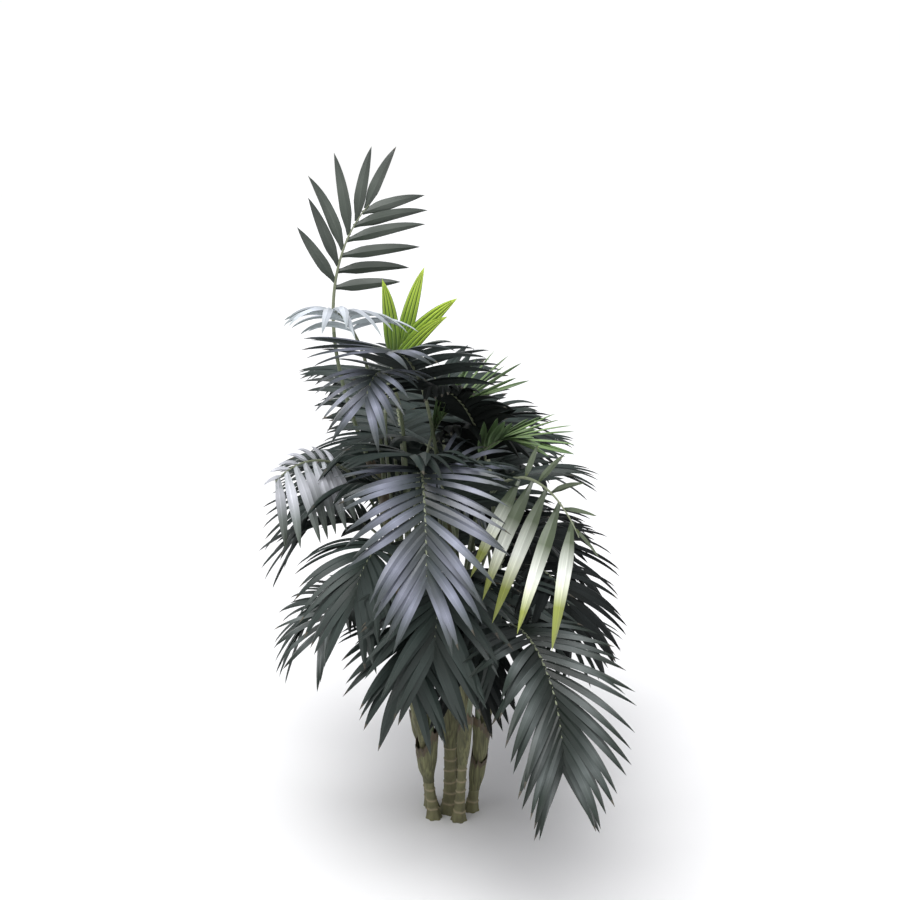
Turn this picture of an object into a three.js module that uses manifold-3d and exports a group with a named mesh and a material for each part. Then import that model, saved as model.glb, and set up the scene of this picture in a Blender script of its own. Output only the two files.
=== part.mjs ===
// A cat palm: a clump of leaning canes from one root, carrying arching feather-shaped fronds.
// Sizes are in millimetres and angles in degrees. The plant stands on z = 0 with the main cane at the
// origin. A turn of 0 faces -Y, 90 faces +X and 180 faces +Y; a lift of 90 points straight up.
import * as THREE from 'three';
import Module from 'manifold-3d';

const wasm = await Module();
wasm.setup();

const DEG = Math.PI / 180;
const SKY = new THREE.Vector3(0, 0, 1);

// Clearance between two solids that meet, and a leaflet's room over its faces and edges
const SEAT_GAP = 0.3;
const SEAT_STEP = 0.1;
const SEAT_LENGTH = 60;
const LEAFLET_ROOM = { face: 1.2, edge: 3.6 };
const NO_ROOM = { face: 0, edge: 0 };

// Canes: radius at the flared foot, above the flare and at the top
const CANE_SIDES = 10;
const MAIN_CANE = { foot: 34, body: 17, top: 13 };
const SIDE_CANE = { foot: 24, body: 13, top: 10 };
const FLARE_FADE = 28;
const FLARE_STATIONS = [0, 12, 30, 60, 110];
const SIDE_CANE_OUT = MAIN_CANE.foot + SIDE_CANE.foot + SEAT_GAP;
const FIRST_SIDE_TURN = 24;
const SIDE_TURN_STEP = 72;

// Each cane's way out from the main one, its lean and its height
const CANES = {
  main: { turn: FIRST_SIDE_TURN, out: 0, lean: 0, height: 820, radii: MAIN_CANE },
  front: sideCane(0, 8, 560),
  right: sideCane(1, 8, 640),
  rear_right: sideCane(2, 8, 560),
  rear_left: sideCane(3, 10, 940),
  left: sideCane(4, 9, 720),
};

// Rib of a frond: a three-sided rod that thins from the cane to the blade and on to the tip
const RIB_SIDES = 3;
const RIB_RADIUS = { cane: 7, blade: 4.6, tip: 1.6 };
const PATH_STEPS = 48;
const STALK_STEPS = 5;
const BLADE_STEPS = 8;
const SPLIT_BEND = 147;

// Leaflets: narrow keeled straps in pairs along the blade
const PAIR_SPACING = 50;
const LEAF_LENGTH = 255;
const LEAF_WIDTH = 30;
const LEAF_KEEL = 3.6;
const LEAF_ROOT_SHARE = 0.11;
const LEAF_WIDEST = 0.42;
const LEAF_STEPS = 10;
const LEAF_FOLD = 8;
const DROOP_CURVE = 1.3;
const PAIR_STAGGER = 0.18;
const SPREAD_AT_FOOT = 64;
const SPREAD_AT_TIP = 24;
const SPREAD_CURVE = 1.2;
// Leaflets are longest in the middle of a blade: an arch between two points of a half wave
const END_SHARE = 0.6;
const ARCH_FROM = 0.12;
const ARCH_TO = 0.84;
// Lengths that a crowded leaflet tries before it is left out
const SHORTER = [1, 0.7, 0.45];

// A frond grows from a new spear to an old hanging frond; stalk and blade reach full length on the way
const NEW_FROND = { liftAtCane: 88, liftAtTip: 80, stalk: 300, blade: 280, droop: 0.35 };
const OLD_FROND = { liftAtCane: 82, liftAtTip: -85, stalk: 430, blade: 390, droop: 0.8 };
const STALK_GROWN = 2 / 3;
const BLADE_GROWN = 1 / 2;
const USUAL_AGE = 0.6;
const USUAL_BEND = 2.1;

const FINISHES = {
  cane: { color: 0x6d6a45, roughness: 0.75, metalness: 0 },
  dark: { color: 0x33423c, roughness: 0.5, metalness: 0 },
  green: { color: 0x4c6a34, roughness: 0.5, metalness: 0 },
  lime: { color: 0xa6c24a, roughness: 0.5, metalness: 0 },
  pale: { color: 0x8f9d7e, roughness: 0.5, metalness: 0 },
};

// Every frond: its cane, how far up that cane it leaves, the way it faces, and either its age, from 0 to 1,
// or its own pose: the lift of its rib at the cane and at the tip, its lengths, how late it bends, the roll of
// its blade about the rib, and its leaflets' spread, droop and length against the usual ones, in all and on the
// left and right hand, with the turn of their faces about their midlines
const FRONDS = [
  { cane: 'left', share: 0.76, turn: 4, lift: [84, -92], stalk: 590, blade: 430, bend: 1.9, spread: 1.2,
    droop: 0.4, leaf: 0.9 },
  { cane: 'left', share: 0.6, turn: 44, lift: [97, -40], stalk: 540, blade: 200, bend: 3.2, roll: 50,
    droop: 0.8, leaf: 0.7 },
  { cane: 'left', share: 0.98, turn: 73, lift: [97, 56], stalk: 530, blade: 90, bend: 4, spread: 0.36,
    roll: 90, leaf: 0.9, tone: 'lime' },
  { cane: 'left', share: 0.93, turn: -15, lift: [90, -56], stalk: 600, blade: 220, bend: 3.2, droop: 0.7,
    leaf: 0.7 },
  { cane: 'left', share: 0.53, turn: -20, lift: [84, -64], stalk: 440, blade: 350, bend: 2.2, droop: 0.9,
    leaf: 0.9 },
  { cane: 'left', share: 0.3, turn: -6, lift: [84, -72], stalk: 430, blade: 340, bend: 2.2, leaf: 0.92 },
  { cane: 'left', share: 0.85, turn: -172, age: 0.8 },
  { cane: 'left', share: 0.32, turn: -86, lift: [88, -70], stalk: 400, blade: 250, bend: 2.4,
    leaf: 0.85 },
  { cane: 'left', share: 0.47, turn: -43, lift: [79, -60], stalk: 350, blade: 220, bend: 2.4, leaf: 0.7 },
  { cane: 'left', share: 0.7, turn: -98, lift: [86, -58], stalk: 340, blade: 210, bend: 2.3, leaf: 0.82 },
  { cane: 'front', share: 0.5, turn: 19, lift: [76, -90], stalk: 500, blade: 480, bend: 1.6, droop: 0.5,
    leaf: 0.95 },
  { cane: 'front', share: 0.7, turn: -8, lift: [82, -78], stalk: 390, blade: 380, bend: 1.9 },
  { cane: 'front', share: 0.95, turn: -20, lift: [80, 10], stalk: 380, blade: 340, bend: 2.1 },
  { cane: 'front', share: 0.9, turn: 24, lift: [98, -42], stalk: 640, blade: 330, bend: 1.3, roll: 64,
    slant: [1.46, 1], droop: 0.33, leaf: 1.3, hands: [1, 0.35], face: 52, tone: 'pale' },
  { cane: 'front', share: 0.8, turn: 70, lift: [104, 20], stalk: 620, blade: 140, bend: 4.8, spread: 0.36,
    droop: 0.1, leaf: 0.9, tone: 'green' },
  { cane: 'right', share: 0.88, turn: -74, lift: [86, -30], stalk: 400, blade: 340, bend: 2.2,
    leaf: 0.85 },
  { cane: 'right', share: 0.55, turn: 29, lift: [88, -62], stalk: 480, blade: 260, bend: 1.8, droop: 0.9,
    leaf: 0.82 },
  { cane: 'right', share: 0.9, turn: 189, age: 0.85 },
  { cane: 'right', share: 0.4, turn: 156, age: 0.9 },
  { cane: 'right', share: 0.62, turn: 205, age: 0.75 },
  { cane: 'right', share: 0.26, turn: 130, lift: [81, -86], stalk: 360, blade: 260, bend: 2.4,
    leaf: 0.9 },
  { cane: 'right', share: 0.97, turn: -30, age: 0.45, leaf: 0.72 },
  { cane: 'right', share: 0.36, turn: -4, lift: [84, -70], stalk: 420, blade: 320, bend: 2.2,
    leaf: 0.92 },
  { cane: 'main', share: 0.8, turn: 32, lift: [88, -4], stalk: 400, blade: 200, bend: 1.8, spread: 0.34,
    droop: 0.1, leaf: 0.85, tone: 'green' },
  { cane: 'main', share: 0.92, turn: -20, lift: [75, -2], stalk: 490, blade: 260, bend: 2.8, spread: 1.2,
    droop: 0.4 },
  { cane: 'main', share: 0.74, turn: 188, age: 0.6 },
  { cane: 'main', share: 0.56, turn: -64, lift: [88, -48], stalk: 400, blade: 340, bend: 2.4, leaf: 0.9 },
  { cane: 'main', share: 0.48, turn: 66, lift: [88, -52], stalk: 360, blade: 250, bend: 2.6 },
  { cane: 'main', share: 0.36, turn: 17, lift: [84, -70], stalk: 400, blade: 360, bend: 2.3 },
  { cane: 'rear_left', share: 0.61, turn: -41, lift: [78, -35], stalk: 500, blade: 220, bend: 2.2,
    roll: -57, slant: [1, 1.7], droop: 0.8, leaf: 0.83, hands: [0.3, 1], face: 40, tone: 'pale' },
  { cane: 'rear_left', share: 0.98, turn: 122, lift: [112, 43], stalk: 520, blade: 250, bend: 2.2,
    roll: 75, slant: [1.15, 0.75], droop: 0.3, leaf: 0.85 },
  { cane: 'rear_left', share: 0.88, turn: -18, lift: [80, 8], stalk: 570, blade: 180, bend: 2.1, droop: 1,
    hands: [0.6, 1], tone: 'pale' },
  { cane: 'rear_left', share: 0.66, turn: 198, age: 0.65 },
  { cane: 'rear_left', share: 0.45, turn: 215, age: 0.85 },
  { cane: 'rear_left', share: 0.3, turn: 150, age: 0.75 },
  { cane: 'rear_left', share: 0.72, turn: 60, lift: [86, -10], stalk: 350, blade: 210 },
  { cane: 'rear_right', share: 0.97, turn: 200, age: 0.3 },
  { cane: 'rear_right', share: 0.82, turn: 160, lift: [78, -44], age: 0.75 },
  { cane: 'rear_right', share: 0.66, turn: 195, age: 0.85 },
  { cane: 'rear_right', share: 0.5, turn: 152, age: 0.9 },
  { cane: 'rear_right', share: 0.8, turn: 236, lift: [84, -20], stalk: 400, blade: 330 },
  { cane: 'rear_right', share: 0.9, turn: 136, lift: [86, -30], stalk: 330, blade: 260 },
];

function sideCane(place, lean, height) {
  const turn = FIRST_SIDE_TURN + SIDE_TURN_STEP * place;
  return { turn, out: SIDE_CANE_OUT, lean, height, radii: SIDE_CANE };
}

/** A frond's pose: what its age gives, unless the table says otherwise. */
function pose(row) {
  const age = row.age ?? USUAL_AGE;
  const grown = (key, share) => mix(NEW_FROND[key], OLD_FROND[key], Math.min(1, share));
  return {
    lift: [grown('liftAtCane', age), grown('liftAtTip', age)],
    stalk: grown('stalk', age / STALK_GROWN),
    blade: grown('blade', age / BLADE_GROWN),
    bend: USUAL_BEND,
    roll: 0,
    spread: 1,
    droop: grown('droop', age),
    leaf: 1,
    hands: [1, 1],
    slant: [1, 1],
    face: 0,
    tone: 'dark',
    ...row,
  };
}

function mix(a, b, t) {
  return a + (b - a) * t;
}

function heading(turn) {
  return new THREE.Vector3(Math.sin(turn * DEG), -Math.cos(turn * DEG), 0);
}

/** Moves a point by a length along each of several directions. */
function moved(point, ...moves) {
  return moves.reduce((p, [way, length]) => p.addScaledVector(way, length), point.clone());
}

/** Skins a closed shell over rings that turn right-handed about the way they follow; one point is a tip. */
function loft(rings) {
  const index = [];
  let start = 0;
  rings.forEach((ring, i) => {
    const next = rings[i + 1];
    if (!next) return;
    const sides = Math.max(ring.length, next.length);
    for (let k = 0; k < sides; k += 1) {
      const a = start + (k % ring.length);
      const b = start + ((k + 1) % ring.length);
      const c = start + ring.length + ((k + 1) % next.length);
      const d = start + ring.length + (k % next.length);
      if (a !== b) index.push(a, b, c);
      if (c !== d) index.push(a, c, d);
    }
    start += ring.length;
  });
  for (let k = 1; k + 1 < rings[0].length; k += 1) index.push(0, k + 1, k);
  for (let k = 1; k + 1 < rings.at(-1).length; k += 1) index.push(start, start + k, start + k + 1);
  const geometry = new THREE.BufferGeometry().setFromPoints(rings.flat());
  geometry.setIndex(index);
  return geometry;
}

function solid(geometry) {
  return new wasm.Manifold(new wasm.Mesh({
    numProp: 3,
    vertProperties: geometry.attributes.position.array,
    triVerts: new Uint32Array(geometry.index.array),
  }));
}

function geometryOf(body) {
  const { vertProperties, triVerts } = body.getMesh();
  const geometry = new THREE.BufferGeometry();
  geometry.setAttribute('position', new THREE.BufferAttribute(vertProperties, 3));
  geometry.setIndex(new THREE.BufferAttribute(triVerts, 1));
  geometry.computeVertexNormals();
  return geometry;
}

/** The point on a cane's axis at a height above the ground. */
function caneAxis(cane, z) {
  const out = cane.out + z * Math.tan(cane.lean * DEG);
  return moved(new THREE.Vector3(), [heading(cane.turn), out], [SKY, z]);
}

function caneRadius(cane, z) {
  const { foot, body, top } = cane.radii;
  return mix(body, top, z / cane.height) + (foot - body) * Math.exp(-z / FLARE_FADE);
}

/** Level rings up a cane, with corners on the lines to its neighbours, from the flat cut at its foot. */
function caneSolid(cane) {
  const rings = [...FLARE_STATIONS, cane.height].map((z) => {
    const ring = [];
    for (let k = 0; k < CANE_SIDES; k += 1) {
      const way = heading(cane.turn + (360 * k) / CANE_SIDES);
      ring.push(moved(caneAxis(cane, z), [way, caneRadius(cane, z)]));
    }
    return ring;
  });
  return solid(loft(rings));
}

/** Directions along, across and above a rib at a share of its length. */
function ribFrame(frond, share) {
  const lift = mix(frond.lift[0], frond.lift[1], share ** frond.bend) * DEG;
  const along = moved(new THREE.Vector3(), [heading(frond.turn), Math.cos(lift)], [SKY, Math.sin(lift)]);
  const level = heading(frond.turn + 90);
  const above = along.clone().cross(level);
  const roll = frond.roll * Math.min(1, (share * frond.length) / frond.stalk) * DEG;
  return {
    along,
    across: moved(new THREE.Vector3(), [level, Math.cos(roll)], [above, Math.sin(roll)]),
    above: moved(new THREE.Vector3(), [above, Math.cos(roll)], [level, -Math.sin(roll)]),
  };
}

function ribRadius(frond, share) {
  const s = share * frond.length;
  if (s < frond.stalk) return mix(RIB_RADIUS.cane, RIB_RADIUS.blade, s / frond.stalk);
  return mix(RIB_RADIUS.blade, RIB_RADIUS.tip, (s - frond.stalk) / frond.blade);
}

function ribRing(frond, share, centre) {
  const { across, above } = ribFrame(frond, share);
  const ring = [];
  for (let k = 0; k < RIB_SIDES; k += 1) {
    const angle = (90 + (360 * k) / RIB_SIDES) * DEG;
    const radius = ribRadius(frond, share);
    ring.push(moved(centre, [across, radius * Math.cos(angle)], [above, radius * Math.sin(angle)]));
  }
  return ring;
}

/** The rib's foot: moved out from the cane's axis, to the side it leans to, until it just clears the cane. */
function ribFoot(frond) {
  const cane = CANES[frond.cane];
  const z = frond.share * cane.height;
  const upCane = caneAxis(cane, 1).sub(caneAxis(cane, 0)).normalize();
  const { along } = ribFrame(frond, 0);
  const away = along.clone().addScaledVector(upCane, -along.dot(upCane)).setZ(0).normalize();
  const foot = moved(caneAxis(cane, z), [away, caneRadius(cane, z)]);
  const ends = () => [foot, moved(foot, [along, SEAT_LENGTH])];
  while (!solid(loft(ends().map((end) => ribRing(frond, 0, end)))).intersect(cane.body).isEmpty()) {
    foot.addScaledVector(away, SEAT_STEP);
  }
  return moved(foot, [away, SEAT_GAP]);
}

/** Follows the rib's bending direction in short steps from its foot. */
function ribPath(frond) {
  const points = [ribFoot(frond)];
  for (let k = 0; k < PATH_STEPS; k += 1) {
    const { along } = ribFrame(frond, (k + 0.5) / PATH_STEPS);
    points.push(moved(points[k], [along, frond.length / PATH_STEPS]));
  }
  return points;
}

function pointOn(points, share) {
  const place = Math.min(Math.max(share, 0), 1) * (points.length - 1);
  const k = Math.min(Math.floor(place), points.length - 2);
  return points[k].clone().lerp(points[k + 1], place - k);
}

/** Evenly spaced lengths along a stretch of rib, both ends included. */
function stations(from, to, steps) {
  return Array.from({ length: steps + 1 }, (_, k) => mix(from, to, k / steps));
}

/** A rib, or a stretch of one, as a tapering rod through the given lengths. */
function ribSolid(frond, lengths) {
  const shares = lengths.map((length) => length / frond.length);
  return solid(loft(shares.map((share) => ribRing(frond, share, pointOn(frond.path, share)))));
}

/** The middle of the rod at a length within the blade. */
function rodPoint(frond, length) {
  const corners = stations(frond.stalk, frond.length, BLADE_STEPS);
  const points = corners.map((s) => pointOn(frond.path, s / frond.length));
  return pointOn(points, (length - frond.stalk) / frond.blade);
}

/** Where each leaflet of a frond starts and points, in pairs from the foot of the blade to its tip. */
function leafletsOf(frond) {
  const leaflets = [];
  const pairs = Math.round(frond.blade / PAIR_SPACING);
  for (let k = 0; k < pairs; k += 1) {
    for (const [side, hand] of [-1, 1].entries()) {
      const v = (k + 0.5) / pairs;
      const place = frond.stalk + frond.blade * (v + (PAIR_STAGGER * hand) / pairs);
      const { along, across, above } = ribFrame(frond, place / frond.length);
      const closing = mix(SPREAD_AT_FOOT, SPREAD_AT_TIP, v ** SPREAD_CURVE);
      const spread = frond.spread * frond.slant[side] * closing * DEG;
      const way = moved(
        new THREE.Vector3(),
        [along, Math.cos(spread)],
        [across, hand * Math.sin(spread) * Math.cos(LEAF_FOLD * DEG)],
        [above, Math.sin(spread) * Math.sin(LEAF_FOLD * DEG)],
      );
      const arch = Math.sin(Math.PI * mix(ARCH_FROM, ARCH_TO, v));
      const length = LEAF_LENGTH * frond.leaf * frond.hands[side] * mix(END_SHARE, 1, arch);
      const face = frond.face * hand * DEG;
      leaflets.push({ root: rodPoint(frond, place), way, above, length, face, droop: frond.droop });
    }
  }
  return leaflets;
}

/** A leaflet's midline, which starts along its way and bends down towards its tip. */
function leafletPath({ root, way, length, droop }) {
  const points = [root];
  for (let k = 0; k < LEAF_STEPS; k += 1) {
    const fall = droop * ((k + 0.5) / LEAF_STEPS) ** DROOP_CURVE;
    const along = way.clone().addScaledVector(SKY, -fall).normalize();
    points.push(moved(points[k], [along, length / LEAF_STEPS]));
  }
  return points;
}

/** A keeled strap from inside the rib to a point, cut at a share of its length, with room round it. */
function leafletSolid(leaflet, part, room) {
  const path = leafletPath({ ...leaflet, length: leaflet.length * part });
  const bend = pointOn(path, LEAF_WIDEST);
  const tip = moved(path.at(-1), [path.at(-1).clone().sub(bend).normalize(), room.edge]);
  const section = (centre, along, size) => {
    const across = leaflet.above.clone().cross(along).normalize().applyAxisAngle(along, leaflet.face);
    const out = along.clone().cross(across);
    const base = moved(centre, [out, -room.face]);
    const half = (LEAF_WIDTH * size) / 2 + room.edge;
    return [
      moved(base, [across, half]),
      moved(base, [out, LEAF_KEEL * Math.sqrt(size) + 2 * room.face]),
      moved(base, [across, -half]),
    ];
  };
  const first = bend.clone().sub(path[0]).normalize();
  const whole = tip.clone().sub(path[0]).normalize();
  return solid(loft([
    section(path[0], first, LEAF_ROOT_SHARE),
    section(bend, whole, 1),
    [tip],
  ]));
}

function boxesMeet(a, b) {
  return [0, 1, 2].every((k) => a.min[k] <= b.max[k] && b.min[k] <= a.max[k]);
}

function clearOf(body, others) {
  const box = body.boundingBox();
  return others.every((other) => !boxesMeet(box, other.box) || body.intersect(other.body).isEmpty());
}

/** The longest of a leaflet's lengths that is clear of its neighbours, or nothing where none is. */
function fittedLeaflet(leaflet, neighbours) {
  const part = SHORTER.find((share) => clearOf(leafletSolid(leaflet, share, LEAFLET_ROOM), neighbours));
  return part && leafletSolid(leaflet, part, NO_ROOM);
}

const plant = new THREE.Group();

function addMesh(name, body, tone) {
  const mesh = new THREE.Mesh(geometryOf(body), new THREE.MeshStandardMaterial(FINISHES[tone]));
  mesh.name = name;
  plant.add(mesh);
}

// Every solid in its place, with its box and the node that owns it
const placed = [];

function place(owner, body) {
  placed.push({ owner, body, box: body.boundingBox() });
  return body;
}

for (const [name, cane] of Object.entries(CANES)) {
  cane.body = place(`cane_${name}`, caneSolid(cane));
  addMesh(`cane_${name}`, cane.body, 'cane');
}

// All ribs stand before the first leaflet, so that every leaflet can keep clear of them
const counts = {};
const fronds = FRONDS.map((row) => {
  const frond = pose(row);
  counts[frond.cane] = (counts[frond.cane] ?? 0) + 1;
  frond.name = `frond_${frond.cane}_${counts[frond.cane]}`;
  frond.length = frond.stalk + frond.blade;
  frond.path = ribPath(frond);
  frond.split = frond.lift[0] - frond.lift[1] > SPLIT_BEND;
  frond.leafNode = frond.split ? `${frond.name}_blade` : frond.name;
  const seam = frond.split ? SEAT_GAP / 2 : 0;
  const stalk = stations(0, frond.stalk - seam, STALK_STEPS);
  const blade = stations(frond.stalk + seam, frond.length, BLADE_STEPS);
  if (frond.split) {
    const node = `${frond.name}_stalk`;
    addMesh(node, place(node, ribSolid(frond, stalk)), frond.tone);
    frond.rib = place(frond.leafNode, ribSolid(frond, blade));
  } else {
    frond.rib = place(frond.leafNode, ribSolid(frond, [...stalk, ...blade.slice(1)]));
  }
  return frond;
});

for (const frond of fronds) {
  const neighbours = placed.filter((other) => other.owner !== frond.leafNode);
  const leaves = leafletsOf(frond).map((leaflet) => fittedLeaflet(leaflet, neighbours)).filter(Boolean);
  leaves.forEach((leaf) => place(frond.leafNode, leaf));
  addMesh(frond.leafNode, leaves.reduce((body, leaf) => body.add(leaf), frond.rib), frond.tone);
}

export default plant;
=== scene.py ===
"""A cat palm in a pale studio: ringed canes, clasping sheaths and arching fronds of narrow keeled leaflets.

Lengths are in metres and angles in degrees. A turn of 0 faces -Y, towards the camera, 90 faces +X and 180
faces +Y; a lift of 90 points straight up.
"""

import math
from functools import partialmethod

import bpy
import numpy as np
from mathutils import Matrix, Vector


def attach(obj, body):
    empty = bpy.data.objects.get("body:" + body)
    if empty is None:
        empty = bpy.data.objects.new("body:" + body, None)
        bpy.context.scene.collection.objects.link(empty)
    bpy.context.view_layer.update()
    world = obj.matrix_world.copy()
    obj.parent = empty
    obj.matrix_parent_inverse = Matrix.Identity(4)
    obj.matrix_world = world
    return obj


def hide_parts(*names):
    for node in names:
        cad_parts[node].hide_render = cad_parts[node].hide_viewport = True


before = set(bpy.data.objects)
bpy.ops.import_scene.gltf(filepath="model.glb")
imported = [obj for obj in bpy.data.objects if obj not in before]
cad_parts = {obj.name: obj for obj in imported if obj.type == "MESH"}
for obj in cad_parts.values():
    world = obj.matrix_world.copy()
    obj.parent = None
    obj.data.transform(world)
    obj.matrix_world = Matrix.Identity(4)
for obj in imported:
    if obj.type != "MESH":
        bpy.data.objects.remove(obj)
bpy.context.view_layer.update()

SEED = 11
SKY = np.array([0.0, 0.0, 1.0])

# Canes: radius at the flared foot, above the flare and at the top
MAIN_CANE = dict(foot=0.034, body=0.017, top=0.013)
SIDE_CANE = dict(foot=0.024, body=0.013, top=0.010)
FLARE_FADE = 0.028
SEAT_GAP = 0.0003
SIDE_CANE_OUT = MAIN_CANE["foot"] + SIDE_CANE["foot"] + SEAT_GAP
FIRST_SIDE_TURN = 24
SIDE_TURN_STEP = 72


def side_cane(place, lean, height):
    """A cane that leans out from the ring round the main one."""
    turn = FIRST_SIDE_TURN + SIDE_TURN_STEP * place
    return dict(turn=turn, out=SIDE_CANE_OUT, lean=lean, height=height, radii=SIDE_CANE)


CANES = dict(
    main=dict(turn=FIRST_SIDE_TURN, out=0.0, lean=0, height=0.82, radii=MAIN_CANE),
    front=side_cane(0, 8, 0.56),
    right=side_cane(1, 8, 0.64),
    rear_right=side_cane(2, 8, 0.56),
    rear_left=side_cane(3, 10, 0.94),
    left=side_cane(4, 9, 0.72),
)

# Relief of a cane: ring scars closer together near the foot, each a ridge with a groove above it
CANE_SIDES = 28
FIRST_SCAR = 0.030
SCAR_SPACING = (0.026, 0.058)
SCAR_STATIONS = np.array([-0.010, -0.006, -0.0035, -0.0015, 0.0, 0.0015, 0.0035, 0.006, 0.010])
SCAR_RIDGE = 0.0016
SCAR_GROOVE = 0.0009
SCAR_WIDTH = 0.0026
SCAR_WOBBLE = 0.0016
SCAR_SPACING_SPREAD = 0.25
GROOVE_ABOVE = 2.2 * SCAR_WIDTH
BETWEEN_SCARS = 0.020
FOOT_STATION = 0.006
STATION_DIGITS = 5
FOOT_LOBES = 6
FOOT_LOBE_DEPTH = 0.005
FOOT_LOBE_FADE = 0.035
CANE_CREASE = 60

# Ribs: a stalk from the cane to the first leaflets, and the rib of the blade beyond it
RIB_RADIUS = dict(cane=0.0068, blade=0.0042, tip=0.0013)
RIB_SIDES = 10
RIB_STATIONS = 56
RIB_FLATNESS = 0.86
RIB_GROOVE = 0.30
RIB_GROOVE_WIDTH = 0.45
RIB_BASE_SWELL = 0.45
RIB_SWELL_FADE = 0.030
RIB_CREASE = 70
PALE_RIB_FROM = 0.8
PATH_STEPS = 48

# Sheaths: the tubular base of each stalk, which clasps the cane below it
SHEATH_LENGTH = 0.105
SHEATH_LIP = 0.055
SHEATH_LIP_POWER = 3
SHEATH_DIP = 0.014
SHEATH_DIP_POWER = 2
SHEATH_ROOM = 0.0012
SHEATH_SWELL = 2.1 * RIB_RADIUS["cane"]
SHEATH_SWELL_POWER = 4
SHEATH_WALL = 0.0011
SHEATH_SPREAD = 0.0016
SHEATH_RIDGE = 0.0005
SHEATH_NEST = 0.0011
SHEATH_ROWS = 14
SHEATH_SIDES = 44
SHEATH_RAGGED = 0.0060
DRY_RIM_ROWS = 2
# How quickly the swell, the nesting and the ridges of a sheath come in as it climbs
SWELL_RISE = 1.1
NEST_RISE = 2
RIDGE_RISE = 4

# Leaflets: narrow keeled straps in pairs along the blade
LEAF_LENGTH = 0.255
LEAF_WIDTH = 0.0265
LEAF_KEEL = 0.0060
LEAF_THICKNESS = 0.0006
LEAF_STEPS = 12
LEAF_SHOULDER = 0.32
LEAF_TAPER = 3.4
LEAF_FOLD = 8
LEAF_CREASE = 26
DROOP_CURVE = 1.3
PAIR_STAGGER = 0.18
SPREAD_AT_FOOT = 64
SPREAD_AT_TIP = 24
SPREAD_CURVE = 1.2
END_SHARE = 0.6
ARCH_FROM = 0.12
ARCH_TO = 0.84
KEEL_POINTS = 5
HALF_ROUNDING = 1.15
PLEAT_STEPS = np.array([0.0, 0.13, 0.5, 0.87, 1.0])
PLEAT_ROOF = 0.55
PLEAT_RIDGE = 0.45
# Lengths that a leaflet in the way of another stalk or a cane tries before it is left out, the room that it
# needs, its first steps, which count as part of its own rib, and the points tried along a rib and a cane
SHORTER = (1.0, 0.7, 0.45)
STALK_ROOM = 0.010
STEPS_AT_OWN_RIB = 2
RIB_PROBES = 90
CANE_PROBES = 60
# How much one leaflet differs from the next
LENGTH_SPREAD = 0.05
ANGLE_SPREAD = 3.0
TWIST_SPREAD = 14.0
CURL_SPREAD = 0.10
DROOP_SPREAD = 0.12
# How low leaflets sit on the rib, how soon they face their own way, and when one is stunted or dry
LEAF_SEAT = 0.0026
FACE_SHARE = 0.15
STUNTED_HAND = 0.5
STUNTED_WIDTH = 0.45
DRY_TIP_FROM = 0.9

# A frond grows from a new spear to an old hanging frond; stalk and blade reach full length on the way
NEW_FROND = dict(lift=(88, 80), stalk=0.30, blade=0.28, droop=0.35)
OLD_FROND = dict(lift=(82, -85), stalk=0.43, blade=0.39, droop=0.8)
STALK_GROWN = 2 / 3
BLADE_GROWN = 1 / 2
USUAL_AGE = 0.6
USUAL_BEND = 2.1
SPLIT_BEND = 147

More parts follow.
